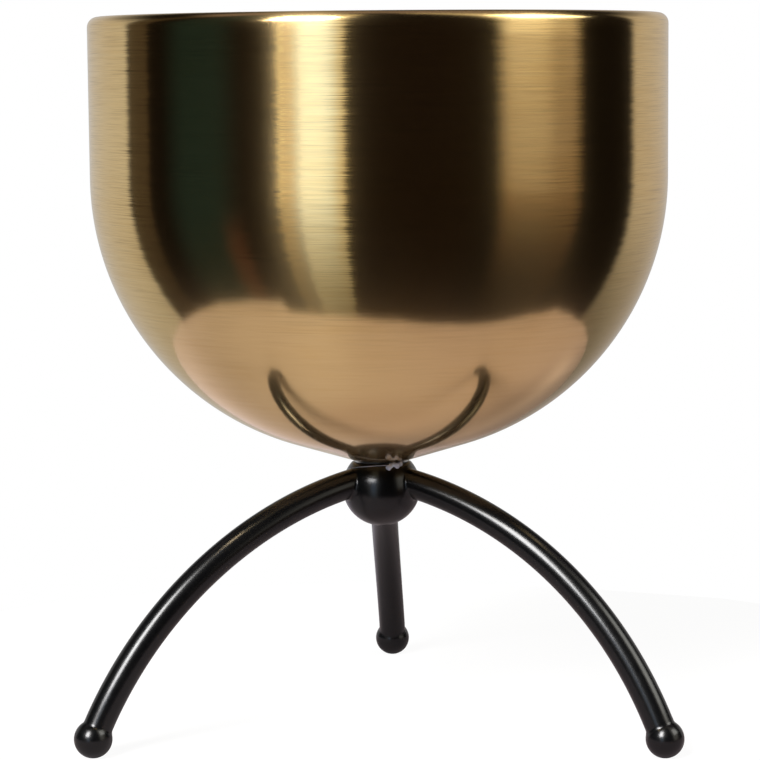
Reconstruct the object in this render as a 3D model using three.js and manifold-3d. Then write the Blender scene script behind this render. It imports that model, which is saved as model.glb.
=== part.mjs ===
// Plant stand: a spun metal bowl screwed to the ball hub of three arched rod legs that end in ball feet.
// Millimetres, +Z up. The origin is on the floor, on the bowl's axis, and the rear leg points along +Y.
import * as THREE from "three";
import { mergeVertices } from "three/addons/utils/BufferGeometryUtils.js";
import Module from "manifold-3d";

const wasm = await Module();
wasm.setup();

// ---- driving dimensions ----

// bowl: one disc of sheet metal, spun to a straight wall over a rounded belly, its edge rolled inwards
const bowlDiameter = 200; // outside
const bowlDepth = 154.6; // outside, from the flat seat to the top of the rim
const sheetThickness = 1;
const bellyRadius = 96.7; // outside radius of the rounded lower half
const bellyDrop = 2.4; // how far that arc's lowest level stays above the seat
const beadDiameter = 7.2; // rolled rim, outside
const beadTurn = 285; // degrees that the sheet's edge is rolled through

// hub: a steel ball, turned flat on top, tapped from above, with a leg welded on at each third of a turn
const hubDiameter = 27.4;
const hubHeight = 83.4; // ball centre above the floor
const hubSeatDiameter = 20.4; // turned flat on top
const threadRunOut = 3; // blind depth of the tapped hole past the screw's end
const drillPointAngle = 118; // degrees

// legs: round bar, bent to one arc
const legCount = 3;
const rodDiameter = 9.8;
const legBendRadius = 137; // of the bar's centre line
const legRootRise = 3.9; // where the centre line would meet the hub's axis, above the ball's centre
const hubWeldRadius = 1.6; // hollow of the weld where a leg meets the hub
const footWeldRadius = 2.4; // hollow of the weld where a leg meets its foot

// feet: steel balls
const footDiameter = 13;
const footCircleRadius = 110.85; // from the bowl's axis to a foot's centre
const footFlatDiameter = 3.2; // ground flat that stands on the floor

// fastening: one screw down through the bowl's seat
const screwDiameter = 6;
const screwLength = 16; // under the head
const screwHeadDiameter = 12;
const screwHeadHeight = 3.6;
const recessLength = 6.6; // cross recess in the head
const recessWidth = 1.3;
const recessDepth = 2;
const steelWasherDiameter = 18;
const steelWasherThickness = 1.2;
const rubberWasherDiameter = 18;
const rubberWasherThickness = 1.5;
const clearWasherDiameter = 19.2;
const clearWasherThickness = 0.8;

// clearances
const stackGap = 0.05; // between flat faces clamped by the screw
const weldGap = 0.3; // between a leg's coped end and the ball that it is welded to
const seatMargin = 0.4; // bowl's flat seat past the hub's flat, on the radius
const threadGap = 0.3; // screw to tapped hole, on the radius
const holeGap = 0.5; // screw to the holes in the sheet and the washers, on the radius

// facets
const roundSegments = { bowl: 60, hub: 40, foot: 24, washer: 36, screw: 24, rod: 18 };
const bellySteps = 11;
const beadSteps = 10;
const ballSteps = 11;
const headSteps = 6;
const legSteps = 18;
const weldSteps = 3;

// ---- sizes that follow ----

const hubRadius = hubDiameter / 2;
const hubSeatRadius = hubSeatDiameter / 2;
const hubSeatHeight = hubHeight + Math.sqrt(hubRadius ** 2 - hubSeatRadius ** 2);
const rodRadius = rodDiameter / 2;
const footRadius = footDiameter / 2;
const footFlatRadius = footFlatDiameter / 2;
const footHeight = Math.sqrt(footRadius ** 2 - footFlatRadius ** 2);
const screwRadius = screwDiameter / 2;

const clearWasherHeight = hubSeatHeight + stackGap;
const bowlHeight = clearWasherHeight + clearWasherThickness + stackGap;
const rubberWasherHeight = bowlHeight + sheetThickness + stackGap;
const steelWasherHeight = rubberWasherHeight + rubberWasherThickness + stackGap;
const screwHeadSeat = steelWasherHeight + steelWasherThickness + stackGap;
const screwEnd = screwHeadSeat - screwLength;
const tappedHoleEnd = screwEnd - threadRunOut;

// ---- materials ----

const finish = (color, metalness, roughness) => new THREE.MeshStandardMaterial({ color, metalness, roughness });
const brushedBrass = finish(0xb98f58, 1, 0.34);
const blackPaint = finish(0x151617, 0, 0.38);
const zincSteel = finish(0xb4b7ba, 1, 0.3);
const blackRubber = finish(0x1d1d1e, 0, 0.85);
const clearSilicone = finish(0xdfe2e3, 0, 0.25);

// ---- solids ----

function solidOf(geometry) {
  geometry.deleteAttribute("normal");
  geometry.deleteAttribute("uv");
  const merged = mergeVertices(geometry, 1e-4);
  return new wasm.Manifold(
    new wasm.Mesh({
      numProp: 3,
      vertProperties: merged.attributes.position.array,
      triVerts: new Uint32Array(merged.index.array),
    }),
  );
}

function geometryOf(solid) {
  const { vertProperties, triVerts } = solid.getMesh();
  const geometry = new THREE.BufferGeometry();
  geometry.setAttribute("position", new THREE.BufferAttribute(vertProperties, 3));
  geometry.setIndex(new THREE.BufferAttribute(triVerts, 1));
  geometry.computeVertexNormals();
  return geometry;
}

// Points of an arc about (x, y), both ends included, angles in radians.
function arc(x, y, radius, start, end, steps) {
  return Array.from({ length: steps + 1 }, (_, i) => {
    const angle = start + ((end - start) * i) / steps;
    return new THREE.Vector2(x + radius * Math.cos(angle), y + radius * Math.sin(angle));
  });
}

// A profile of radius and height, turned about the vertical axis. It runs up outside and down inside.
const turned = (profile, segments) => new THREE.LatheGeometry(profile, segments).rotateX(Math.PI / 2);

// The bowl's section, seat at height 0. Outer and inner face are the same run, a sheet's thickness apart.
function bowlProfile() {
  const radius = bowlDiameter / 2;
  const beadRadius = beadDiameter / 2;
  const seatRadius = hubSeatRadius + seatMargin;
  const bellyCentre = new THREE.Vector2(radius - bellyRadius, bellyRadius + bellyDrop);

  // The sheet leaves the seat's edge on a straight cone that runs tangent into the belly.
  const toCentre = bellyCentre.clone().sub(new THREE.Vector2(seatRadius, 0));
  const coneSlope = toCentre.angle() - Math.asin(bellyRadius / toCentre.length());

  const face = (inset) => [
    new THREE.Vector2(screwRadius + holeGap, inset),
    new THREE.Vector2(seatRadius - inset * Math.tan(coneSlope / 2), inset),
    ...arc(bellyCentre.x, bellyCentre.y, bellyRadius - inset, coneSlope - Math.PI / 2, 0, bellySteps),
    ...arc(
      radius - beadRadius,
      bowlDepth - beadRadius,
      beadRadius - inset,
      0,
      THREE.MathUtils.degToRad(beadTurn),
      beadSteps,
    ),
  ];
  const closed = [...face(0), ...face(sheetThickness).reverse()];
  return [...closed, closed[0]];
}

// A ball's section from its lowest level up, cut flat at the given radii below and above.
function ballProfile(radius, centreHeight, flatBelow, flatAbove) {
  const start = -Math.acos(flatBelow / radius);
  const end = Math.acos(flatAbove / radius);
  return arc(0, centreHeight, radius, start, end, ballSteps);
}

function hubProfile() {
  const holeRadius = screwRadius + threadGap;
  const pointDepth = holeRadius / Math.tan(THREE.MathUtils.degToRad(drillPointAngle / 2));
  return [
    ...ballProfile(hubRadius, hubHeight, 0, hubSeatRadius),
    new THREE.Vector2(holeRadius, hubSeatHeight),
    new THREE.Vector2(holeRadius, tappedHoleEnd),
    new THREE.Vector2(0, tappedHoleEnd - pointDepth),
  ];
}

const footProfile = () => [
  new THREE.Vector2(0, 0),
  ...ballProfile(footRadius, footHeight, footFlatRadius, 0),
];

function washerProfile(diameter, thickness) {
  const inner = screwRadius + holeGap;
  return [
    new THREE.Vector2(inner, 0),
    new THREE.Vector2(diameter / 2, 0),
    new THREE.Vector2(diameter / 2, thickness),
    new THREE.Vector2(inner, thickness),
    new THREE.Vector2(inner, 0),
  ];
}

// A pan head on its shank, head seat at height 0, with a cross recess.
function screwSolid() {
  const headRadius = screwHeadDiameter / 2;
  const domeRadius = (headRadius ** 2 + screwHeadHeight ** 2) / (2 * screwHeadHeight);
  const domeSpan = Math.asin(headRadius / domeRadius);
  const pointLength = screwRadius / 4;
  const head = arc(
    0,
    screwHeadHeight - domeRadius,
    domeRadius,
    Math.PI / 2 - domeSpan,
    Math.PI / 2,
    headSteps,
  );
  head[0].y = 0;
  const profile = [
    new THREE.Vector2(0, -screwLength),
    new THREE.Vector2(screwRadius - pointLength, -screwLength),
    new THREE.Vector2(screwRadius, pointLength - screwLength),
    new THREE.Vector2(screwRadius, 0),
    ...head,
  ];
  let screw = solidOf(turned(profile, roundSegments.screw));
  for (const [length, width] of [[recessLength, recessWidth], [recessWidth, recessLength]]) {
    const slot = new THREE.BoxGeometry(length, width, 2 * recessDepth);
    screw = screw.subtract(solidOf(slot.translate(0, 0, screwHeadHeight)));
  }
  return screw;
}

// ---- legs, drawn in the XZ plane with the foot towards +X ----

class LegArc extends THREE.Curve {
  constructor() {
    super();
    const root = new THREE.Vector2(0, hubHeight + legRootRise);
    const foot = new THREE.Vector2(footCircleRadius, footHeight);
    const chord = foot.clone().sub(root);
    const sink = Math.sqrt(legBendRadius ** 2 - chord.lengthSq() / 4);
    const inward = new THREE.Vector2(chord.y, -chord.x).normalize();
    this.centre = root.clone().add(foot).multiplyScalar(0.5).addScaledVector(inward, sink);
    this.start = root.clone().sub(this.centre).angle();
    this.end = foot.clone().sub(this.centre).angle();
  }
  getPoint(t, target = new THREE.Vector3()) {
    const angle = this.start + (this.end - this.start) * t;
    return target.set(
      this.centre.x + legBendRadius * Math.cos(angle),
      0,
      this.centre.y + legBendRadius * Math.sin(angle),
    );
  }
  // How far along the arc, from 0 to 1, its centre line leaves the ball about a point.
  leaves(ballCentre, radius, outwards) {
    let [inside, outside] = outwards ? [0, 0.5] : [1, 0.5];
    for (let i = 0; i < 40; i += 1) {
      const middle = (inside + outside) / 2;
      if (this.getPoint(middle).distanceTo(ballCentre) < radius) inside = middle;
      else outside = middle;
    }
    return outside;
  }
}

// The hollow weld round a bar that meets a ball at any offset: a closed ring whose section, in each plane
// through the bar's axis, is filled below an arc that touches both the bar and the ball.
function weldRing(axisPoint, direction, ballCentre, ballRadius, hollow) {
  const side = new THREE.Vector3(0, 1, 0);
  const up = new THREE.Vector3().crossVectors(direction, side);
  const toBall = ballCentre.clone().sub(axisPoint);
  const sunkRadius = 0.98 * rodRadius; // keeps the weld's edge just under the bar's faceted skin
  const root = 0.3 * rodRadius; // how deep the ring reaches into the bar and into the ball
  const positions = [];
  const index = [];
  const sectionPoints = weldSteps + 3;

  for (let i = 0; i < roundSegments.rod; i += 1) {
    const turn = ((i + 0.5) * 2 * Math.PI) / roundSegments.rod;
    const radial = side.clone().multiplyScalar(Math.cos(turn)).addScaledVector(up, Math.sin(turn));
    const across = new THREE.Vector3().crossVectors(direction, radial);
    const ballAlong = toBall.dot(direction);
    const ballOut = toBall.dot(radial);
    const circleRadius = Math.sqrt(ballRadius ** 2 - toBall.dot(across) ** 2);
    const arcOut = sunkRadius + hollow;
    const arcAlong = ballAlong + Math.sqrt((circleRadius + hollow) ** 2 - (arcOut - ballOut) ** 2);
    const ballSide = Math.atan2(ballOut - arcOut, ballAlong - arcAlong);
    const section = arc(arcAlong, arcOut, hollow, ballSide, -Math.PI / 2, weldSteps);
    section.push(new THREE.Vector2(arcAlong, sunkRadius - root));
    const inBall = new THREE.Vector2(ballAlong, ballOut).sub(section[0]).setLength(root);
    section.push(section[0].clone().add(inBall));
    for (const { x, y } of section) {
      const point = axisPoint.clone().addScaledVector(direction, x).addScaledVector(radial, y);
      positions.push(point.x, point.y, point.z);
    }
    const here = i * sectionPoints;
    const next = ((i + 1) % roundSegments.rod) * sectionPoints;
    for (let k = 0; k < sectionPoints; k += 1) {
      const l = (k + 1) % sectionPoints;
      index.push(here + k, next + l, here + l, here + k, next + k, next + l);
    }
  }
  const ring = new THREE.BufferGeometry();
  ring.setAttribute("position", new THREE.Float32BufferAttribute(positions, 3));
  ring.setIndex(index);
  return ring;
}

function legSolid() {
  const path = new LegArc();
  const bar = new THREE.Shape().absarc(0, 0, rodRadius, 0, 2 * Math.PI);
  const swept = new THREE.ExtrudeGeometry(bar, {
    extrudePath: path,
    steps: legSteps,
    curveSegments: roundSegments.rod / 2, // a full circle takes two points for each of these
  });
  const hubCentre = new THREE.Vector3(0, 0, hubHeight);
  const footCentre = new THREE.Vector3(footCircleRadius, 0, footHeight);
  const atHub = path.leaves(hubCentre, hubRadius, true);
  const atFoot = path.leaves(footCentre, footRadius, false);
  const outwards = path.getTangent(atHub);
  const inwards = path.getTangent(atFoot).negate();
  const hubWeld = weldRing(path.getPoint(atHub), outwards, hubCentre, hubRadius, hubWeldRadius);
  const footWeld = weldRing(path.getPoint(atFoot), inwards, footCentre, footRadius, footWeldRadius);
  const cope = (centre, radius) =>
    solidOf(new THREE.SphereGeometry(radius + weldGap, 28, 18).translate(centre.x, centre.y, centre.z));
  return solidOf(swept)
    .add(solidOf(hubWeld))
    .add(solidOf(footWeld))
    .subtract(cope(hubCentre, hubRadius))
    .subtract(cope(footCentre, footRadius));
}

// ---- assembly ----

const plantStand = new THREE.Group();

function place(name, solid, material, height = 0) {
  const mesh = new THREE.Mesh(geometryOf(solid), material);
  mesh.name = name;
  mesh.position.z = height;
  return mesh;
}

const bowl = solidOf(turned(bowlProfile(), roundSegments.bowl));
const hub = solidOf(turned(hubProfile(), roundSegments.hub));
const leg = legSolid();
const foot = solidOf(turned(footProfile(), roundSegments.foot).translate(footCircleRadius, 0, 0));
const washer = (diameter, thickness) =>
  solidOf(turned(washerProfile(diameter, thickness), roundSegments.washer));

plantStand.add(
  place("bowl", bowl, brushedBrass, bowlHeight),
  place("hub_ball", hub, blackPaint),
  place("clear_washer", washer(clearWasherDiameter, clearWasherThickness), clearSilicone, clearWasherHeight),
  place("rubber_washer", washer(rubberWasherDiameter, rubberWasherThickness), blackRubber, rubberWasherHeight),
  place("steel_washer", washer(steelWasherDiameter, steelWasherThickness), zincSteel, steelWasherHeight),
  place("fixing_screw", screwSolid(), zincSteel, screwHeadSeat),
);

["rear", "front_left", "front_right"].forEach((side, i) => {
  const legGroup = new THREE.Group();
  legGroup.rotation.z = Math.PI / 2 + (i * 2 * Math.PI) / legCount;
  legGroup.add(
    place("leg_" + side, leg, blackPaint),
    place("foot_ball_" + side, foot, blackPaint),
  );
  plantStand.add(legGroup);
});

export default plantStand;
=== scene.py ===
import math

import bmesh
import bpy
from mathutils import Matrix, Vector, noise


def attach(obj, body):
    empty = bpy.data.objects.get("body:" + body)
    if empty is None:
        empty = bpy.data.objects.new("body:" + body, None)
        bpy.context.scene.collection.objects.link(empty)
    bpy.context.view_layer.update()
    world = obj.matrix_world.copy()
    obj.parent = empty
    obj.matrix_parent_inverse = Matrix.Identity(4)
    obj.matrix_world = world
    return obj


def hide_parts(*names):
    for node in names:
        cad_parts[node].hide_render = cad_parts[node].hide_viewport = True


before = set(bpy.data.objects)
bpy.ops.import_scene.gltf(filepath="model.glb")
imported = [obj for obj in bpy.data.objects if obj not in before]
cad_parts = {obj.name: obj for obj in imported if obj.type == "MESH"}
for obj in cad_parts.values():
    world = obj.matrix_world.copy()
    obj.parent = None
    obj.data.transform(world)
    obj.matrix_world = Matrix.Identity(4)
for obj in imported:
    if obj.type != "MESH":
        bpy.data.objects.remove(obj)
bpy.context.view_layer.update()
mm = 0.001
hair = 0.002  # millimetres by which faces at the model's box stay inside it
print("frame loaded:", ", ".join(sorted(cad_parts)))


# Node trees are written as expressions: a Wire is an output socket, and sums of Wires add Math nodes.
class Wire:
    def __init__(self, graph, socket):
        self.graph = graph
        self.socket = socket

    def out(self, name):
        return Wire(self.graph, self.socket.node.outputs[name])

    def __add__(self, other):
        return self.graph.maths("ADD", self, other)

    def __sub__(self, other):
        return self.graph.maths("SUBTRACT", self, other)

    def __rsub__(self, other):
        return self.graph.maths("SUBTRACT", other, self)

    def __mul__(self, other):
        return self.graph.maths("MULTIPLY", self, other)

    def __truediv__(self, other):
        return self.graph.maths("DIVIDE", self, other)

    __radd__ = __add__
    __rmul__ = __mul__


class Graph:
    def __init__(self, tree):
        self.tree = tree
        tree.nodes.clear()

    def node(self, kind, settings=None, sockets=None):
        made = self.tree.nodes.new(kind)
        for name, value in (settings or {}).items():
            setattr(made, name, value)
        for key, value in (sockets or {}).items():
            named = [s for s in made.inputs if s.enabled and s.name == key]
            socket = named[0] if named else made.inputs[key]
            if isinstance(value, Wire):
                self.tree.links.new(value.socket, socket)
            else:
                socket.default_value = value
        shown = [s for s in made.outputs if s.enabled]
        return Wire(self, shown[0]) if shown else None

    def maths(self, operation, first, second=0.0):
        return self.node("ShaderNodeMath", {"operation": operation}, {0: first, 1: second})

    def vectors(self, operation, first, second=(0, 0, 0)):
        return self.node("ShaderNodeVectorMath", {"operation": operation}, {0: first, 1: second})

    def scaled(self, vector, amount):
        return self.node("ShaderNodeVectorMath", {"operation": "SCALE"}, {"Vector": vector, "Scale": amount})

    def split(self, vector):
        return self.node("ShaderNodeSeparateXYZ", None, {"Vector": vector})

    def joined(self, x, y, z):
        return self.node("ShaderNodeCombineXYZ", None, {"X": x, "Y": y, "Z": z})

    def ease(self, value, start, end):  # 0 before start, 1 after end, smooth between
        return self.node(
            "ShaderNodeMapRange",
            {"interpolation_type": "SMOOTHSTEP"},
            {"Value": value, "From Min": start, "From Max": end},
        )

    def window(self, value, low, high, soft):  # 1 between low and high
        return self.ease(value, low - soft, low + soft) * (1 - self.ease(value, high - soft, high + soft))

    def blendColours(self, share, first, second):
        return self.node(
            "ShaderNodeMix", {"data_type": "RGBA"}, {"Factor": share, "A": first, "B": second}
        )

    def mottle(self, place, scale, detail, ragged=0.5):
        return self.node(
            "ShaderNodeTexNoise",
            None,
            {"Vector": place, "Scale": scale, "Detail": detail, "Roughness": ragged},
        )

    def bump(self, height, distance, strength):
        return self.node(
            "ShaderNodeBump", None, {"Strength": strength, "Distance": distance, "Height": height}
        )

    def mixShaders(self, share, first, second):
        return self.node("ShaderNodeMixShader", None, {0: share, 1: first, 2: second})


# The camera stands where the photograph's outlines put it.
cameraPlace = {
    "position": (0.03318, -0.97303, 0.23215),
    "turn": 1.9675,  # degrees, towards the left
    "dip": 6.503,  # degrees below level
    "roll": -0.491,
    "lens": 132.39,
}


def addObject(name, data):
    made = bpy.data.objects.new(name, data)
    bpy.context.scene.collection.objects.link(made)
    return made


def makeCamera(place):
    data = bpy.data.cameras.new("photoCamera")
    data.lens = place["lens"]
    camera = addObject("photoCamera", data)
    turned = (
        Matrix.Rotation(math.radians(place["turn"]), 4, "Z")
        @ Matrix.Rotation(math.radians(90 - place["dip"]), 4, "X")
        @ Matrix.Rotation(math.radians(place["roll"]), 4, "Z")
    )
    camera.matrix_world = Matrix.Translation(place["position"]) @ turned
    bpy.context.scene.camera = camera


makeCamera(cameraPlace)
print("camera placed")


# A material whose surface is what shade(graph, place, finish) gives; place is the Object coordinates.
def newMaterial(name, shade, finish):
    material = bpy.data.materials.new(name)
    material.use_nodes = True
    graph = Graph(material.node_tree)
    place = graph.node("ShaderNodeTexCoord").out("Object")
    graph.node("ShaderNodeOutputMaterial", None, {"Surface": shade(graph, place, finish)})
    return material


# Brass brushed round the bowl, under lacquer. Each brush line leans the surface a little, its own way.
brassFinish = {
    "colour": (0.92, 0.67, 0.315, 1),
    "tarnish": (0.85, 0.59, 0.25, 1),
    "cloudsPerMetre": 22.0,
    "roughness": 0.085,
    "wallRoughness": 0.045,  # added on the wall, where the brushing is deepest
    "beadRoughness": 0.07,  # and added again on the bead
    "lineRoughness": 0.04,  # how much it differs between brush lines
    "stretch": 0.82,
    "brushedShare": 0.17,  # the part of the light that the brushing throws far up and down
    "brushedRoughness": 0.25,
    "brushedFrom": 112 * mm,  # heights between which the brushing grows to its full depth
    "brushedTo": 188 * mm,
    "bellyDepth": 0.2,  # its depth below them, as a share
    "beadFrom": 241 * mm,
    "beadTo": 247 * mm,
    "wallRadius": 100 * mm,
    "lineLength": 22 * mm,
    "lineSpacing": 0.2 * mm,
    "lines": [(1, 1, 3.1), (0.7, 0.8, 41.7), (3, 5, 17.3)],  # shares of length and spacing, and a seed
    "lineDepth": 0.25,
    "leanAcross": 0.06,
    "leanUp": 0.05,
}


def brushedBrass(graph, place, finish):
    along = graph.node("ShaderNodeAttribute", {"attribute_name": "along"}).out("Fac")
    outward = graph.vectors("NORMALIZE", graph.vectors("MULTIPLY", place, (1, 1, 0)))
    spoke = graph.split(outward)
    rounds = finish["wallRadius"] / finish["lineLength"]

    def streaks(longer, wider, seed):  # they run round the bowl, seamless at every angle
        x = spoke.out("X") * (rounds / longer) + seed
        y = spoke.out("Y") * (rounds / longer)
        z = along * (1 / (wider * finish["lineSpacing"]))
        return graph.mottle(graph.joined(x, y, z), 1.0, 1.0, 0.6)

    fine, second, coarse = [streaks(*measures) for measures in finish["lines"]]
    clouds = graph.mottle(place, finish["cloudsPerMetre"], 3.0)
    height = graph.split(place).out("Z")
    wall = graph.ease(height, finish["brushedFrom"], finish["brushedTo"])
    bead = graph.ease(height, finish["beadFrom"], finish["beadTo"])
    deep = wall * (1 - finish["bellyDepth"]) + finish["bellyDepth"]

    facing = graph.node("ShaderNodeNewGeometry").out("Normal")
    roundward = graph.vectors("CROSS_PRODUCT", (0, 0, 1), outward)
    upward = graph.vectors("CROSS_PRODUCT", facing, roundward)
    across = (fine * 0.7 + coarse * 0.3 - 0.5) * deep * finish["leanAcross"]
    up = (second * 0.8 + coarse * 0.2 - 0.5) * deep * finish["leanUp"]
    leant = graph.vectors("ADD", facing, graph.scaled(roundward, across))
    normal = graph.vectors("NORMALIZE", graph.vectors("ADD", leant, graph.scaled(upward, up)))

    tarnished = graph.ease(clouds * 0.7 + coarse * 0.3, 0.4, 0.7)
    plain = graph.blendColours(tarnished, finish["colour"], finish["tarnish"])
    scored = graph.ease(fine * 0.6 + second * 0.4, 0.45, 0.7) * deep * finish["lineDepth"]
    blurred = finish["roughness"] + finish["wallRoughness"] * wall + finish["beadRoughness"] * bead
    roughness = blurred + finish["lineRoughness"] * (fine - 0.5)
    gloss = {
        "Metallic": 1.0,
        "Base Color": graph.scaled(plain, 1 - scored),
        "Anisotropic Rotation": 0.25,
        "Normal": normal,
    }
    mirror = graph.node(
        "ShaderNodeBsdfPrincipled",
        None,
        gloss | {"Roughness": roughness, "Anisotropic": finish["stretch"]},
    )
    spread = graph.node(
        "ShaderNodeBsdfPrincipled",
        None,
        gloss | {"Roughness": finish["brushedRoughness"], "Anisotropic": 1.0},
    )
    return graph.mixShaders(finish["brushedShare"], mirror, spread)


# Satin black stoving enamel over welded steel.
enamelFinish = {
    "colour": (0.0018, 0.0019, 0.0022, 1),
    "dusty": (0.0030, 0.0030, 0.0032, 1),
    "dustSize": 14 * mm,
    "roughness": 0.24,
    "roughnessSpread": 0.08,
    "gloss": 0.45,
    "peelSize": 1.6 * mm,
    "peelHeight": 0.0016 * mm,
    "gritSize": 0.35 * mm,
    "gritShare": 0.06,
}


def blackEnamel(graph, place, finish):
    peel = graph.mottle(place, 1 / finish["peelSize"], 2.0)
    grit = graph.mottle(place, 1 / finish["gritSize"], 1.0)
    dust = graph.mottle(place, 1 / finish["dustSize"], 2.0)
    spread = finish["roughnessSpread"]
    return graph.node(
        "ShaderNodeBsdfPrincipled",
        None,
        {
            "Base Color": graph.blendColours(graph.ease(dust, 0.35, 0.7), finish["colour"], finish["dusty"]),
            "Roughness": finish["roughness"] - 0.5 * spread + spread * peel,
            "Normal": graph.bump(peel + finish["gritShare"] * grit, finish["peelHeight"], 1.0),
            "Specular IOR Level": finish["gloss"],
        },
    )


# Bright zinc plate, with the faint ring marks of turning.
zincFinish = {
    "colour": (0.62, 0.63, 0.64, 1),
    "spangle": (0.52, 0.54, 0.57, 1),
    "spanglesPerMetre": 900.0,
    "roughness": 0.27,
    "roughnessSpread": 0.12,
    "ringSpacing": 0.22 * mm,
    "ringShare": 0.3,
    "markHeight": 0.004 * mm,
}


def brightZinc(graph, place, finish):
    radius = graph.vectors("LENGTH", graph.vectors("MULTIPLY", place, (1, 1, 0))).out("Value")
    rings = graph.maths("SINE", radius * (2 * math.pi / finish["ringSpacing"]))
    cloud = graph.mottle(place, finish["spanglesPerMetre"], 3.0)
    spangled = graph.ease(cloud, 0.35, 0.65)
    return graph.node(
        "ShaderNodeBsdfPrincipled",
        None,
        {
            "Base Color": graph.blendColours(spangled, finish["colour"], finish["spangle"]),
            "Metallic": 1.0,
            "Roughness": finish["roughness"] + finish["roughnessSpread"] * cloud,
            "Normal": graph.bump(rings * finish["ringShare"] + cloud, finish["markHeight"], 0.6),
        },
    )


rubberFinish = {
    "colour": (0.018, 0.018, 0.019, 1),
    "bloom": (0.045, 0.045, 0.047, 1),
    "bloomsPerMetre": 260.0,
    "grainsPerMetre": 2600.0,
    "grainHeight": 0.01 * mm,
    "roughness": 0.78,
    "roughnessSpread": 0.1,
}


def blackRubber(graph, place, finish):
    grain = graph.mottle(place, finish["grainsPerMetre"], 3.0)
    bloom = graph.mottle(place, finish["bloomsPerMetre"], 2.0)
    return graph.node(
        "ShaderNodeBsdfPrincipled",
        None,
        {
            "Base Color": graph.blendColours(graph.ease(bloom, 0.45, 0.8), finish["colour"], finish["bloom"]),
            "Roughness": finish["roughness"] + finish["roughnessSpread"] * grain,
            "Normal": graph.bump(grain, finish["grainHeight"], 0.8),
        },
    )


# Silicone: clear in the washer, and whitened where it has been torn and crumpled.
clearFinish = {
    "colour": (0.10, 0.098, 0.11, 1),
    "cloudy": (0.15, 0.147, 0.16, 1),
    "cloudsPerMetre": 700.0,
    "creaseHeight": 0.05 * mm,
    "roughness": 0.3,
    "roughnessSpread": 0.1,
    "clearness": 0.85,
    "bending": 1.41,
    "gloss": 0.15,
}
tornFinish = clearFinish | {
    "colour": (0.68, 0.71, 0.86, 1),
    "cloudy": (0.84, 0.87, 1.0, 1),
    "clearness": 0.0,
    "gloss": 0.5,
}


def siliconeRubber(graph, place, finish):
    cloud = graph.mottle(place, finish["cloudsPerMetre"], 3.0)
    clouded = graph.ease(cloud, 0.35, 0.65)
    return graph.node(
        "ShaderNodeBsdfPrincipled",
        None,
        {
            "Base Color": graph.blendColours(clouded, finish["colour"], finish["cloudy"]),
            "Roughness": finish["roughness"] + finish["roughnessSpread"] * cloud,
            "Normal": graph.bump(cloud, finish["creaseHeight"], 0.7),
            "IOR": finish["bending"],
            "Transmission Weight": finish["clearness"],
            "Specular IOR Level": finish["gloss"],
        },
    )


brass = newMaterial("brushedBrass", brushedBrass, brassFinish)
enamel = newMaterial("blackEnamel", blackEnamel, enamelFinish)
zinc = newMaterial("brightZinc", brightZinc, zincFinish)
rubber = newMaterial("blackRubber", blackRubber, rubberFinish)
silicone = newMaterial("clearSilicone", siliconeRubber, clearFinish)
tornSilicone = newMaterial("tornSilicone", siliconeRubber, tornFinish)
print("finishes made")


# A Geometry Nodes tree with a Geometry input and output, and the given named inputs.
def newTree(name, inputs):
    tree = bpy.data.node_groups.new(name, "GeometryNodeTree")
    for way in ("INPUT", "OUTPUT"):
        tree.interface.new_socket("Geometry", in_out=way, socket_type="NodeSocketGeometry")
    for label, kind in inputs.items():
        tree.interface.new_socket(label, in_out="INPUT", socket_type="NodeSocket" + kind)
    graph = Graph(tree)
    return tree, graph, graph.node("NodeGroupInput")


def endTree(graph, geometry, finish):
    whole = graph.node("GeometryNodeRealizeInstances", None, {"Geometry": geometry})
    painted = graph.node("GeometryNodeSetMaterial", None, {"Geometry": whole, "Material": finish})
    graph.node("NodeGroupOutput", None, {"Geometry": painted})


def smoothed(graph, geometry):
    return graph.node("GeometryNodeSetShadeSmooth", {"domain": "FACE"}, {"Geometry": geometry})


def barAlong(graph, curve, radius, sides):
    ring = graph.node(
        "GeometryNodeCurvePrimitiveCircle", {"mode": "RADIUS"}, {"Resolution": sides, "Radius": radius}
    )
    return graph.node(
        "GeometryNodeCurveToMesh", None, {"Curve": curve, "Profile Curve": ring, "Fill Caps": True}
    )


# Leaves an object with the plain mesh that its modifiers make, and no modifier.
def settle(piece):
    depsgraph = bpy.context.evaluated_depsgraph_get()
    made = bpy.data.meshes.new_from_object(piece.evaluated_get(depsgraph), depsgraph=depsgraph)
    piece.modifiers.clear()
    piece.data = made


# Runs a tree over a mesh, and gives the result as an object.
def grow(name, mesh, tree, values):
    piece = addObject(name, mesh)
    modifier = piece.modifiers.new(tree.name, "NODES")
    modifier.node_group = tree
    for item in tree.interface.items_tree:
        if item.in_out == "INPUT" and item.name in values:
            modifier[item.identifier] = values[item.name]
    settle(piece)
    piece.data.name = name
    return piece


def joinTo(whole, *others):
    with bpy.context.temp_override(active_object=whole, selected_editable_objects=[whole, *others]):
        bpy.ops.object.join()


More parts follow.
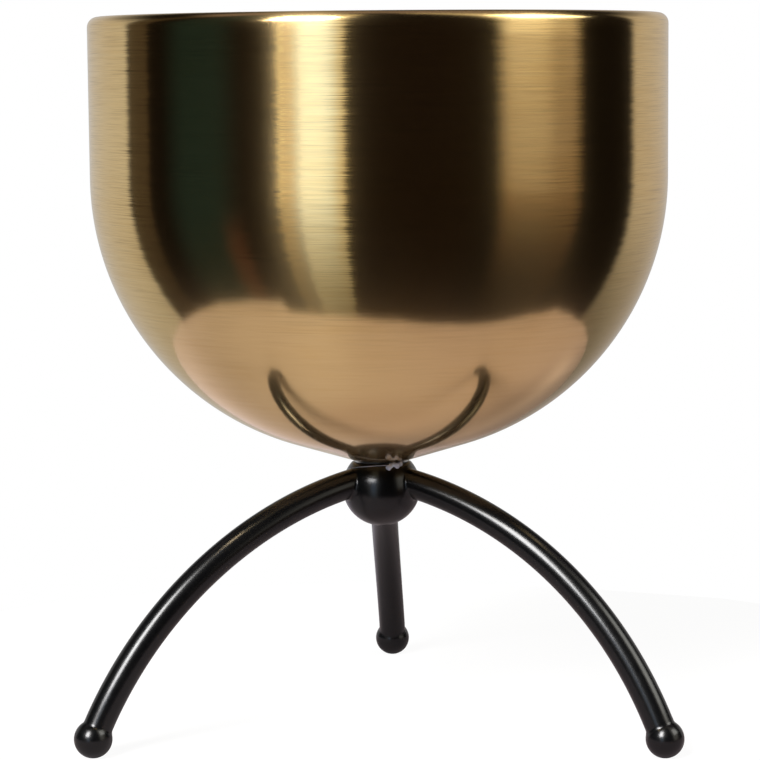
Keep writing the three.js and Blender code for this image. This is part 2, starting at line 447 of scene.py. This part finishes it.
# Turns a section, drawn in the XZ plane, about the Z axis.
def turningTree():
    tree, graph, given = newTree(
        "turnedSection", {"Around": "Int", "Crease Angle": "Float", "Finish": "Material"}
    )
    section = given.out("Geometry")
    around = given.out("Around")
    rows = graph.node("GeometryNodeAttributeDomainSize", None, {"Geometry": section}).out("Point Count")
    columns = around + 1
    grid = graph.node("GeometryNodeMeshGrid", None, {"Vertices X": rows, "Vertices Y": columns})
    index = graph.node("GeometryNodeInputIndex")
    row = graph.maths("FLOOR", (index + 0.5) / columns)
    angle = (index - row * columns) * (2 * math.pi) / around

    def sampled(kind, value):
        sockets = {"Geometry": section, "Value": value, "Index": row}
        return graph.node("GeometryNodeSampleIndex", {"data_type": kind}, sockets)

    point = graph.split(sampled("FLOAT_VECTOR", graph.node("GeometryNodeInputPosition")))
    along = graph.node("GeometryNodeInputNamedAttribute", {"data_type": "FLOAT"}, {"Name": "along"})
    x = point.out("X") * graph.maths("COSINE", angle)
    y = point.out("X") * graph.maths("SINE", angle)
    place = graph.joined(x, y, point.out("Z"))
    turned = graph.node("GeometryNodeSetPosition", None, {"Geometry": grid, "Position": place})
    marked = graph.node(
        "GeometryNodeStoreNamedAttribute",
        {"data_type": "FLOAT", "domain": "POINT"},
        {"Geometry": turned, "Name": "along", "Value": sampled("FLOAT", along)},
    )
    closed = graph.node("GeometryNodeMergeByDistance", None, {"Geometry": marked, "Distance": 1e-7})
    crease = graph.node(
        "FunctionNodeCompare",
        {"data_type": "FLOAT", "operation": "LESS_THAN"},
        {"A": graph.node("GeometryNodeInputMeshEdgeAngle"), "B": given.out("Crease Angle")},
    )
    creased = graph.node(
        "GeometryNodeSetShadeSmooth",
        {"domain": "EDGE"},
        {"Geometry": smoothed(graph, closed), "Shade Smooth": crease},
    )
    endTree(graph, creased, given.out("Finish"))
    return tree


turnedSection = turningTree()


# Points of an arc about (x, z), angles in degrees, both ends included.
def arc(x, z, radius, start, end, steps):
    turns = [math.radians(start + (end - start) * i / steps) for i in range(steps + 1)]
    return [(x + radius * math.cos(t), z + radius * math.sin(t)) for t in turns]


def straight(start, end, steps):
    return [
        (start[0] + (end[0] - start[0]) * i / steps, start[1] + (end[1] - start[1]) * i / steps)
        for i in range(steps + 1)
    ]


def chain(count):  # the edges of a line of that many points
    return [(i, i + 1) for i in range(count - 1)]


# A turned piece. Points of the section that coincide are dropped, and "along" is the distance on it
# from its start.
def turn(name, section, around, finish, crease=50):
    kept = [section[0]]
    for point in section[1:]:
        if math.dist(point, kept[-1]) > 1e-4:
            kept.append(point)
    mesh = bpy.data.meshes.new(name + "Section")
    mesh.from_pydata([(x * mm, 0, z * mm) for x, z in kept], chain(len(kept)), [])
    lengths = [0.0]
    for here, there in zip(kept, kept[1:]):
        lengths.append(lengths[-1] + math.dist(here, there) * mm)
    mesh.attributes.new("along", "FLOAT", "POINT").data.foreach_set("value", lengths)
    values = {"Around": around, "Crease Angle": math.radians(crease), "Finish": finish}
    return grow(name, mesh, turnedSection, values)


def fit(piece, nodeName):
    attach(piece, "root")
    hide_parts(nodeName)


# Sizes in millimetres, as in the CAD model.
hubShape = {
    "radius": 13.7,
    "centre": 83.4,
    "seatRadius": 10.2,
    "edgeRound": 0.5,
    "holeRadius": 3.3,
    "holeDepth": 19,  # below the screw's head
    "drillAngle": 118,
    "around": 128,
}
stack = {"gap": 0.05, "clear": 0.8, "sheet": 1.0, "rubber": 1.5, "steel": 1.2}

hubSeat = hubShape["centre"] + math.sqrt(hubShape["radius"] ** 2 - hubShape["seatRadius"] ** 2)
clearBase = hubSeat + stack["gap"]
bowlBase = clearBase + stack["clear"] + stack["gap"]
rubberBase = bowlBase + stack["sheet"] + stack["gap"]
steelBase = rubberBase + stack["rubber"] + stack["gap"]
headBase = steelBase + stack["steel"] + stack["gap"]

bowlShape = {
    "radius": 100,
    "depth": 154.6,
    "bellyRadius": 96.7,
    "bellyDrop": 2.4,
    "beadRadius": 3.6,
    "beadTurn": 285,
    "seatRadius": 10.6,
    "holeRadius": 3.5,
    "holeEdge": 0.15,
    "around": 240,
    "bellySteps": 52,
    "beadSteps": 30,
}


def bowlSection(shape):
    centre = (shape["radius"] - shape["bellyRadius"], shape["bellyRadius"] + shape["bellyDrop"])
    toCentre = (centre[0] - shape["seatRadius"], centre[1])
    slope = math.atan2(toCentre[1], toCentre[0]) - math.asin(shape["bellyRadius"] / math.hypot(*toCentre))
    hole, edge = shape["holeRadius"], shape["holeEdge"]

    def face(inset):
        bellyStart = math.degrees(slope) - 90
        belly = arc(*centre, shape["bellyRadius"] - inset, bellyStart, 0, shape["bellySteps"])
        seatEdge = (shape["seatRadius"] - inset * math.tan(slope / 2), inset)
        beadCentre = (shape["radius"] - shape["beadRadius"], shape["depth"] - shape["beadRadius"])
        bead = arc(*beadCentre, shape["beadRadius"] - hair - inset, 0, shape["beadTurn"], shape["beadSteps"])
        return [
            (hole, inset),
            *straight((hole + 2 * edge, inset), seatEdge, 4),
            *straight(seatEdge, belly[0], 4),
            *belly,
            *straight(belly[-1], bead[0], 10),
            *bead,
        ]

    outer, inner = face(0), face(stack["sheet"])
    outer[0] = (hole, edge)
    inner[0] = (hole, stack["sheet"] - edge)
    return [(x, z + bowlBase) for x, z in [*outer, *reversed(inner), outer[0]]]


bowl = turn("spunBowl", bowlSection(bowlShape), bowlShape["around"], brass)
fit(bowl, "bowl")
print("bowl turned:", len(bowl.data.polygons), "faces")


def hubSection(shape):
    radius, centre = shape["radius"], shape["centre"]
    seat, hole, edge = shape["seatRadius"], shape["holeRadius"], shape["edgeRound"]
    seatAngle = math.degrees(math.acos(seat / radius) - edge / radius)
    holeEnd = headBase - shape["holeDepth"]
    drillTip = hole / math.tan(math.radians(shape["drillAngle"] / 2))
    return [
        (0, centre - radius),
        *arc(0, centre, radius, -90, seatAngle, 60)[1:],
        (seat - 0.44 * edge, hubSeat - 0.2 * edge),
        (seat - edge, hubSeat),
        *straight((seat - 1.2 * edge, hubSeat), (hole + edge, hubSeat), 4),
        (hole, hubSeat - edge),
        (hole, holeEnd),
        (0, holeEnd - drillTip),
    ]


hub = turn("hubBall", hubSection(hubShape), hubShape["around"], enamel)
fit(hub, "hub_ball")
print("hub turned")


legShape = {
    "radius": 5.0,
    "bendRadius": 137,
    "rootRise": 3.9,
    "footCircle": 110.85,
    "footRadius": 6.5,
    "footFlat": 1.6,
    "bow": 1.3,  # how far the middle of a leg stands aside of its plane, as photographed
    "hubWeld": 1.6,
    "footWeld": 2.4,
    "weldSink": 0.35,  # how far the weld's edge goes into the ball
    "weldUneven": 0.25,
    "weldRipples": 5,
    "around": 72,
    "steps": 150,
    "weldRings": 12,
    "easeRings": 10,  # rings between the weld and the evenly stepped bar
}
footCentre = math.sqrt(legShape["footRadius"] ** 2 - legShape["footFlat"] ** 2)


# A round bar along an arc in the XZ plane, centred on a given point.
def bentBarTree():
    tree, graph, given = newTree(
        "bentBar",
        {
            "Bend Radius": "Float",
            "Bar Radius": "Float",
            "Start Angle": "Float",
            "Sweep Angle": "Float",
            "Centre": "Vector",
            "Rings": "Int",
            "Around": "Int",
            "Finish": "Material",
        },
    )
    bend = graph.node(
        "GeometryNodeCurveArc",
        {"mode": "RADIUS"},
        {
            "Resolution": given.out("Rings"),
            "Radius": given.out("Bend Radius"),
            "Start Angle": given.out("Start Angle"),
            "Sweep Angle": given.out("Sweep Angle"),
        },
    )
    raised = graph.node(
        "GeometryNodeTransform",
        None,
        {"Geometry": bend, "Translation": given.out("Centre"), "Rotation": (math.pi / 2, 0, 0)},
    )
    bar = barAlong(graph, raised, given.out("Bar Radius"), given.out("Around"))
    endTree(graph, smoothed(graph, bar), given.out("Finish"))
    return tree


bentBar = bentBarTree()


# One leg towards +X: the bar, its ends then flared into the hollow welds at the hub and at the foot.
def makeLeg(shape):
    root = Vector((0, hubShape["centre"] + shape["rootRise"]))
    foot = Vector((shape["footCircle"], footCentre))
    chord = foot - root
    bend = shape["bendRadius"]
    sink = math.sqrt(bend**2 - chord.length_squared / 4)
    inward = Vector((chord.y, -chord.x)).normalized()
    centre = (root + foot) / 2 + inward * sink
    bendCentre = Vector((centre.x, 0, centre.y))

    def angleOf(point):
        return math.atan2(point.y - centre.y, point.x - centre.x)

    def leaving(ball, radius, inside, outside):  # where the centre line leaves a ball
        for _ in range(50):
            middle = (inside + outside) / 2
            point = centre + bend * Vector((math.cos(middle), math.sin(middle)))
            if (point - ball).length < radius:
                inside = middle
            else:
                outside = middle
        return outside

    start, end = angleOf(root), angleOf(foot)
    hubCentre = Vector((0, hubShape["centre"]))
    atHub = leaving(hubCentre, hubShape["radius"], start, (start + end) / 2)
    atFoot = leaving(foot, shape["footRadius"], end, (start + end) / 2)

    values = {
        "Bend Radius": bend * mm,
        "Bar Radius": shape["radius"] * mm,
        "Start Angle": atHub,
        "Sweep Angle": atFoot - atHub,
        "Centre": (centre.x * mm, 0, centre.y * mm),
        "Rings": shape["steps"],
        "Around": shape["around"],
        "Finish": enamel,
    }
    leg = grow("legPattern", bpy.data.meshes.new("legSeed"), bentBar, values)
    mesh = leg.data

    def radialOf(spoke, turned):
        return spoke * math.cos(turned) + Vector((0, 1, 0)) * math.sin(turned)

    # Place on the bent bar: distance from the start angle along it, and out from its centre line.
    def onBar(angle, travel, out, turned):
        here = angle + travel / bend
        spoke = Vector((math.cos(here), 0, math.sin(here)))
        return bendCentre + bend * spoke + out * radialOf(spoke, turned)

    # The weld's line on one side of the bar, as distances along it and out: a hollow arc that touches both.
    def weldCurve(angle, way, ball, ballRadius, hollow, turned):
        spoke = Vector((math.cos(angle), 0, math.sin(angle)))
        direction = way * Vector((-math.sin(angle), 0, math.cos(angle)))
        radial = radialOf(spoke, turned)
        toBall = Vector((ball.x, 0, ball.y)) - (bendCentre + bend * spoke)
        ripples = shape["weldRipples"]
        ripple = noise.noise(Vector((ripples * math.cos(turned), ripples * math.sin(turned), 3 * ballRadius)))
        hollow = hollow * (1 + shape["weldUneven"] * ripple)
        ballAlong, ballOut = toBall.dot(direction), toBall.dot(radial)
        circle = math.sqrt(ballRadius**2 - toBall.dot(direction.cross(radial)) ** 2)
        arcOut = shape["radius"] + hollow
        arcAlong = ballAlong + math.sqrt((circle + hollow) ** 2 - (arcOut - ballOut) ** 2)
        fromBall = math.degrees(math.atan2(ballOut - arcOut, ballAlong - arcAlong))
        if fromBall > 0:
            fromBall -= 360
        points = arc(arcAlong, arcOut, hollow, fromBall, -90, shape["weldRings"] - 1)
        sunk = Vector((ballAlong, ballOut)) - Vector(points[0])
        first = Vector(points[0]) + sunk.normalized() * shape["weldSink"]
        return [tuple(first), *points]

    count, around = shape["steps"], shape["around"]
    rings, eased = shape["weldRings"] + 1, shape["easeRings"]
    joined = rings + eased
    step = bend * abs(atFoot - atHub) / (count - 1)
    way = 1 if atFoot > atHub else -1
    ends = [
        (atHub, way, hubCentre, hubShape["radius"], shape["hubWeld"], lambda i: i),
        (atFoot, -way, foot, shape["footRadius"], shape["footWeld"], lambda i: count - 1 - i),
    ]
    for column in range(around):
        seen = mesh.vertices[column].co / mm - bendCentre
        spoke = Vector((math.cos(atHub), 0, math.sin(atHub)))
        turned = math.atan2(seen.y, seen.dot(spoke) - bend)
        for angle, sense, ball, ballRadius, hollow, ringAt in ends:
            curve = weldCurve(angle, sense, ball, ballRadius, hollow, turned)
            last = curve[-1][0]
            for i in range(joined):
                if i < rings:
                    travel, out = curve[i]
                else:
                    share = (i - rings + 1) / (eased + 1)
                    travel, out = last + (step * joined - last) * share, shape["radius"]
                vertex = mesh.vertices[ringAt(i) * around + column]
                vertex.co = onBar(angle, sense * travel, out, turned) * mm
    for vertex in mesh.vertices:
        here = math.atan2(vertex.co.z / mm - centre.y, vertex.co.x / mm - centre.x)
        share = min(max((here - atHub) / (atFoot - atHub), 0), 1)
        vertex.co.y += shape["bow"] * mm * math.sin(math.pi * share)
    mesh.update()
    return leg


def footSection(shape):
    radius, flat = shape["footRadius"], shape["footFlat"]
    lowest = -math.degrees(math.acos(flat / radius))
    return [(0, 0), (flat - 0.1, 0), *arc(0, footCentre, radius - hair, lowest + 1, 90, 44)]


legPattern = makeLeg(legShape)
footPattern = turn("footPattern", footSection(legShape), legShape["around"], enamel)
patterns = (("leg", legPattern, 0), ("foot_ball", footPattern, legShape["footCircle"] * mm))

for side, degrees in (("rear", 90), ("front_left", 210), ("front_right", 330)):
    for name, pattern, outward in patterns:
        piece = addObject(name + "_" + side + "_enamelled", pattern.data.copy())
        placed = Matrix.Rotation(math.radians(degrees), 4, "Z") @ Matrix.Translation((outward, 0, 0))
        piece.data.transform(placed)
        fit(piece, name + "_" + side)
for pattern in (legPattern, footPattern):
    bpy.data.objects.remove(pattern)
print("legs and feet made")


steelShape = {"inner": 3.5, "outer": 9, "edge": 0.25}
rubberShape = {"inner": 3.5, "outer": 9, "edge": 0.4}
smallAround = 96  # faces round the washers and the screw


def washerSection(base, thickness, shape):
    top = base + thickness
    inner, outer, edge = shape["inner"], shape["outer"], shape["edge"]
    return [
        (inner, base + edge),
        (inner + edge, base),
        *straight((inner + 2 * edge, base), (outer - 2 * edge, base), 6),
        *arc(outer - edge, base + edge, edge, -90, 0, 4),
        *arc(outer - edge, top - edge, edge, 0, 90, 4),
        *straight((outer - 2 * edge, top), (inner + 2 * edge, top), 6),
        (inner + edge, top),
        (inner, top - edge),
        (inner, base + edge),
    ]


steelSection = washerSection(steelBase, stack["steel"], steelShape)
fit(turn("steelWasher", steelSection, smallAround, zinc), "steel_washer")
rubberSection = washerSection(rubberBase, stack["rubber"], rubberShape)
fit(turn("rubberWasher", rubberSection, smallAround, rubber), "rubber_washer")

screwShape = {
    "radius": 3.0,
    "coreRadius": 2.45,
    "length": 16,
    "tip": 0.7,
    "neck": 0.3,
    "pitch": 1.0,
    "threadFrom": 0.9,  # above the tip
    "threadShort": 2.0,  # how much shorter the thread is than the screw
    "headRadius": 6.0,
    "headHeight": 3.6,
    "headEdge": 0.35,
    "crease": 35,
    "recessLength": 6.6,
    "recessWidth": 1.3,
    "recessDepth": 2.0,
    "recessRise": 0.8,  # how far the cutter stands above the crown
    "recessReach": (0.62, 1.12),  # the length of its arms at its bottom and at its top, as shares
    "recessTaper": 0.3,  # how much of that taper their width has
}


def screwSection(shape):
    head, height, edge = shape["headRadius"], shape["headHeight"], shape["headEdge"]
    dome = (head**2 + height**2) / (2 * height)
    span = math.degrees(math.asin(head / dome))
    crown = arc(0, headBase + height - dome, dome, 90 - span, 90, 24)
    core, tip, neck = shape["coreRadius"], shape["tip"], shape["neck"]
    end = headBase - shape["length"]
    return [
        (0, end),
        (core - tip, end),
        (core, end + tip),
        *straight((core, end + tip + neck), (core, headBase - neck), 6),
        (core + neck, headBase),
        (head - edge, headBase),
        (head - 0.08, headBase + 0.12),
        *[(x, z) for x, z in crown if z > headBase + edge],
    ]


# The thread's ridge: a three-sided bar wound up the shank.
def threadTree():
    tree, graph, given = newTree(
        "threadRidge",
        {
            "Radius": "Float",
            "Depth": "Float",
            "Turns": "Float",
            "Rise": "Float",
            "Base": "Vector",
            "Finish": "Material",
        },
    )
    core = given.out("Radius") - given.out("Depth")
    spiral = graph.node(
        "GeometryNodeCurveSpiral",
        None,
        {
            "Resolution": 40,
            "Rotations": given.out("Turns"),
            "Start Radius": core,
            "End Radius": core,
            "Height": given.out("Rise"),
        },
    )
    wound = barAlong(graph, spiral, given.out("Depth"), 3)
    placed = graph.node("GeometryNodeTransform", None, {"Geometry": wound, "Translation": given.out("Base")})
    endTree(graph, placed, given.out("Finish"))
    return tree


# The cross recess is cut by two boxes, one along X and one along Y, that narrow downwards.
def recessCutter(shape, top):
    corners, faces = [], []
    for arm in ("X", "Y"):
        first = len(corners)
        for share, height in zip(shape["recessReach"], (-shape["recessDepth"], shape["recessRise"])):
            long = 0.5 * shape["recessLength"] * share
            wide = 0.5 * shape["recessWidth"] * (1 - shape["recessTaper"] * (1 - share))
            halfX, halfY = (long, wide) if arm == "X" else (wide, long)
            for x, y in ((-1, -1), (1, -1), (1, 1), (-1, 1)):
                corners.append((x * halfX * mm, y * halfY * mm, (top + height) * mm))
        for face in ((3, 2, 1, 0), (4, 5, 6, 7), (0, 1, 5, 4), (1, 2, 6, 5), (2, 3, 7, 6), (3, 0, 4, 7)):
            faces.append([first + i for i in face])
    cutter = bpy.data.meshes.new("crossRecess")
    cutter.from_pydata(corners, [], faces)
    return addObject("crossRecess", cutter)


def makeScrew(shape):
    screw = turn("fixingScrew", screwSection(shape), smallAround, zinc, shape["crease"])
    cutter = recessCutter(shape, headBase + shape["headHeight"])
    cut = screw.modifiers.new("crossRecess", "BOOLEAN")
    cut.operation, cut.solver, cut.object, cut.use_self = "DIFFERENCE", "EXACT", cutter, True
    settle(screw)
    bpy.data.objects.remove(cutter)
    threaded = (shape["length"] - shape["threadShort"]) * mm
    values = {
        "Radius": shape["radius"] * mm,
        "Depth": (shape["radius"] - shape["coreRadius"]) * mm,
        "Turns": threaded / (shape["pitch"] * mm),
        "Rise": threaded,
        "Base": (0, 0, (headBase - shape["length"] + shape["threadFrom"]) * mm),
        "Finish": zinc,
    }
    joinTo(screw, grow("threadRidge", bpy.data.meshes.new("ridgeSeed"), threadTree(), values))
    return screw


fit(makeScrew(screwShape), "fixing_screw")
print("screw and washers made")


# The clear washer, with the scrap and the thin strand of it that have been squeezed out at the front.
clearShape = {
    "inner": 3.5,
    "outer": 9.6,
    "edge": 0.2,
    "strand": [(-11.2, 90.45), (-7.6, 91.55), (-4.4, 92.0), (-1.2, 92.3), (2.6, 92.45)],  # X and height
    "strandRadius": 0.12,
    "strandLift": 0.1,  # how far its centre line is off the hub
    "scrap": [  # centre X, height and size of each lump
        (2.9, 91.7, 1.05),
        (3.8, 92.3, 0.9),
        (4.7, 92.5, 0.85),
        (5.7, 92.1, 1.05),
        (6.8, 92.6, 0.9),
    ],
    "scrapLift": 0.3,
    "scrapDepth": 0.75,  # towards the viewer, as a share of its height
    "crumple": 0.2,
    "crumpleSize": 0.8,
    "crumpleSeed": 1,
    "fusing": 0.1,  # the voxels that join the lumps
}


def onHub(x, height, lift):  # the point of the hub's front at that X and height
    out = math.sqrt(max((hubShape["radius"] + lift) ** 2 - (height - hubShape["centre"]) ** 2 - x**2, 0))
    return Vector((x, -out, height))


def strandTree():
    tree, graph, given = newTree("strand", {"Radius": "Float", "Finish": "Material"})
    line = graph.node("GeometryNodeMeshToCurve", None, {"Mesh": given.out("Geometry")})
    even = graph.node("GeometryNodeResampleCurve", {"mode": "COUNT"}, {"Curve": line, "Count": 60})
    tube = barAlong(graph, even, given.out("Radius"), 10)
    endTree(graph, smoothed(graph, tube), given.out("Finish"))
    return tree


def makeStrand(shape):
    places, steps = [], 8
    for start, end in zip(shape["strand"], shape["strand"][1:]):
        places += [onHub(x, z, shape["strandLift"]) * mm for x, z in straight(start, end, steps)[:-1]]
    line = bpy.data.meshes.new("strandLine")
    line.from_pydata(places, chain(len(places)), [])
    return grow("strand", line, strandTree(), {"Radius": shape["strandRadius"] * mm, "Finish": tornSilicone})


# Lumps crumpled by noise, kept below the bowl and fused into one skin.
def makeScrap(shape):
    noise.seed_set(shape["crumpleSeed"])
    lumps = bmesh.new()
    for x, height, size in shape["scrap"]:
        flattened = Matrix.Diagonal((1, shape["scrapDepth"], 1, 1))
        placed = Matrix.Translation(onHub(x, height, shape["scrapLift"]) * mm) @ flattened
        made = bmesh.ops.create_icosphere(lumps, subdivisions=4, radius=size * mm, matrix=placed)
        for vertex in made["verts"]:
            vertex.co += shape["crumple"] * mm * noise.noise_vector(vertex.co / (shape["crumpleSize"] * mm))
            vertex.co.z = min(vertex.co.z, (bowlBase - stack["gap"]) * mm)
    crumpled = bpy.data.meshes.new("scrap")
    lumps.to_mesh(crumpled)
    lumps.free()
    scrap = addObject("scrap", crumpled)
    skin = scrap.modifiers.new("skin", "REMESH")
    skin.mode, skin.voxel_size, skin.use_smooth_shade = "VOXEL", shape["fusing"] * mm, True
    settle(scrap)
    scrap.data.materials.clear()
    scrap.data.materials.append(tornSilicone)
    return scrap


clearSection = washerSection(clearBase, stack["clear"], clearShape)
clearWasher = turn("clearWasher", clearSection, smallAround, silicone)
joinTo(clearWasher, makeStrand(clearShape), makeScrap(clearShape))
fit(clearWasher, "clear_washer")
print("clear washer made")


# The stand is on a small round white table, whose front is cut back. Sizes in millimetres.
tableShape = {
    "outline": [
        (-151, -193), (-126, -182), (-100, -187), (-60, -195), (-20, -196), (33, -186), (95, -158),
        (137, -132), (176, -108), (208, -85), (250, -38), (256, 9), (251, 70), (228, 130), (192, 180),
        (140, 222), (70, 250), (0, 261), (-75, 250), (-145, 218), (-200, 168), (-239, 108), (-259, 34),
        (-257, -48), (-241, -105), (-199, -159),
    ],
    "seenWhite": 0.93,  # to the camera the table is this white of its own, and so keeps a faint soft shadow
    "seenShade": (0.09, 0.09, 0.09, 1),
    # Painted light and shade for what the brass and the paint mirror: lighter to the left and to the rear,
    # darker to the right.
    "leftShade": (0.38, 0.34, 0.355, 1),
    "rightShade": (0.335, 0.28, 0.30, 1),
    "rightward": (-90, 110),  # the X between which left turns into right
    "rearShade": (0.52, 0.48, 0.56, 1),
    "rearward": (130, 330),  # Y less X, likewise
    "shadowShade": (0.62, 0.54, 0.58, 1),  # painted light, paler where the bowl's shadow falls
    "shadowAcross": (30, 180, 30),  # from X, to X, and how soft
    "shadowBehind": (50, 120),
    # Painted shade under the bowl, fading out from its axis.
    "underShade": (0.33, 0.272, 0.28, 1),
    "outFromUnder": (25, 75),  # distance from the bowl's axis
}


# What the brass and the paint mirror is lit, with painted light and shade for each side. What the camera sees
# is nearly white.
def tableSurface(graph, place, shape):
    point = graph.split(place)
    x, y = point.out("X"), point.out("Y")

    def rising(value, bounds):
        return graph.ease(value, bounds[0] * mm, bounds[1] * mm)

    # Painted light and shade: lighter on the left, darker on the right, lighter again to the rear.
    openTable = graph.blendColours(rising(x, shape["rightward"]), shape["leftShade"], shape["rightShade"])
    rear = graph.blendColours(rising(y - x, shape["rearward"]), openTable, shape["rearShade"])
    # Painted light where the bowl's shadow falls behind it.
    across = graph.window(x, *[side * mm for side in shape["shadowAcross"]])
    paintedOverShadow = graph.blendColours(rising(y, shape["shadowBehind"]) * across, rear, shape["shadowShade"])
    # Painted shade under the bowl, fading out from its axis.
    fromAxis = graph.vectors("LENGTH", place).out("Value")
    paintedLightAndShade = graph.blendColours(rising(fromAxis, shape["outFromUnder"]), shape["underShade"], paintedOverShadow)
    matt = {"Base Color": paintedLightAndShade, "Roughness": 1.0, "Specular IOR Level": 0.0}
    lit = graph.node("ShaderNodeBsdfPrincipled", None, matt)
    shadow = graph.node("ShaderNodeBsdfDiffuse", None, {"Color": shape["seenShade"]})
    white = graph.node("ShaderNodeEmission", None, {"Color": (1, 1, 1, 1), "Strength": shape["seenWhite"]})
    shown = graph.node("ShaderNodeAddShader", None, {0: shadow, 1: white})
    seen = graph.node("ShaderNodeLightPath").out("Is Camera Ray")
    return graph.mixShaders(seen, lit, shown)


def makeTable(shape):
    mesh = bpy.data.meshes.new("tableTop")
    corners = [(x * mm, y * mm, 0) for x, y in shape["outline"]]
    mesh.from_pydata(corners, [], [list(range(len(corners)))])
    mesh.materials.append(newMaterial("tableTop", tableSurface, shape))
    addObject("tableTop", mesh)


makeTable(tableShape)

# The studio: pale behind the stand and dark in front of it, with soft lights on either side.
# Azimuth 0 is towards the viewer and grows to the right. Each light has its azimuths, its elevations,
# how soft its edges are across and upwards, how far below level it has faded to half, all in degrees,
# and its colour.
studio = {
    "dark": (0.0062, 0.0048, 0.0042),
    "fadeCurve": 1.5,
    "lights": {
        "leftKey": ((-42, -19), (24, 53), (1.8, 2), 9, (32, 31.8, 31.8)),
        "leftGlow": ((-37.0, -10.9), (-99, 76), (1.1, 2), 27, (0.33, 0.28, 0.18)),
        "leftEdge": ((-37.3, -35.2), (-8, 76), (1, 7), 36, (0.28, 0.29, 0.24)),
        "leftPanel": ((-28.5, -11.2), (-99, 76), (0.7, 2), 36, (0.36, 0.38, 0.34)),
        "leftRise": ((-30, -14.5), (-99, 30), (3, 2), 15, (0.06, 0.33, 0.80)),
        "rightKey": ((60, 97), (26, 54), (4, 2), 9, (4.6, 4.6, 4.3)),
        "rightGlow": ((50.5, 86), (-99, 84), (4, 2), 14, (0.14, 0.085, 0.05)),
        "rightPanel": ((50.5, 85.5), (1.2, 84), (4, 2), 9, (0.58, 0.58, 0.50)),
        "rightBright": ((51, 72), (0.6, 40), (5, 2), 9, (0.44, 0.44, 0.40)),
        "rearTopLeft": ((-181, -100), (52, 88), (4, 6), 9, (0.22, 0.18, 0.19)),
        "rearTopRight": ((100, 181), (52, 88), (4, 6), 9, (0.22, 0.18, 0.19)),
        "frontGlow": ((-50, 42), (-99, 20), (12, 2), 90, (0.004, 0.002, 0.001)),
        "greenCorner": ((-85, -58), (-99, 60), (8, 2), 60, (0.0072, 0.022, 0.025)),
        "redCloth": ((-63, -54), (-60, -16), (3, 7), 90, (0.05, 0.016, 0.008)),
        "brownCorner": ((-111, -99), (-99, 60), (1.5, 2), 30, (0.056, 0.044, 0.031)),
        "leftBackdrop": ((-181, -113), (-99, 26), (2, 12), 60, (0.56, 0.56, 0.56)),
        "rightBackdrop": ((120, 181), (-99, 26), (3, 12), 21, (0.52, 0.50, 0.49)),
    },
}


# The lights are what the object is lit by and mirrors. To the camera, the world is plain white.
def makeStudio(setting):
    world = bpy.data.worlds.new("studio")
    bpy.context.scene.world = world
    world.use_nodes = True
    graph = Graph(world.node_tree)
    direction = graph.split(graph.node("ShaderNodeTexCoord").out("Generated"))
    azimuth = graph.maths("ARCTAN2", direction.out("X"), 0 - direction.out("Y")) * (180 / math.pi)
    elevation = graph.maths("ARCSINE", direction.out("Z")) * (180 / math.pi)
    below = 0 - graph.maths("MINIMUM", elevation, 0)
    total = list(setting["dark"])
    for across, up, soft, fade, tints in setting["lights"].values():
        depth = graph.maths("POWER", below / fade, setting["fadeCurve"])
        light = graph.window(azimuth, *across, soft[0]) * graph.window(elevation, *up, soft[1])
        faded = light * graph.maths("POWER", 0.5, depth)
        total = [faded * tint + sofar for tint, sofar in zip(tints, total)]
    colour = graph.node("ShaderNodeCombineColor", None, dict(zip(("Red", "Green", "Blue"), total)))
    around = graph.node("ShaderNodeBackground", None, {"Color": colour, "Strength": 1.0})
    backdrop = graph.node("ShaderNodeBackground", None, {"Color": (1, 1, 1, 1), "Strength": 1.0})
    rays = graph.node("ShaderNodeLightPath")
    seen = rays.out("Is Camera Ray") + rays.out("Is Transmission Ray")
    graph.node("ShaderNodeOutputWorld", None, {"Surface": graph.mixShaders(seen, around, backdrop)})


makeStudio(studio)
bpy.context.scene.view_settings.view_transform = "Standard"
print("stage and light set")
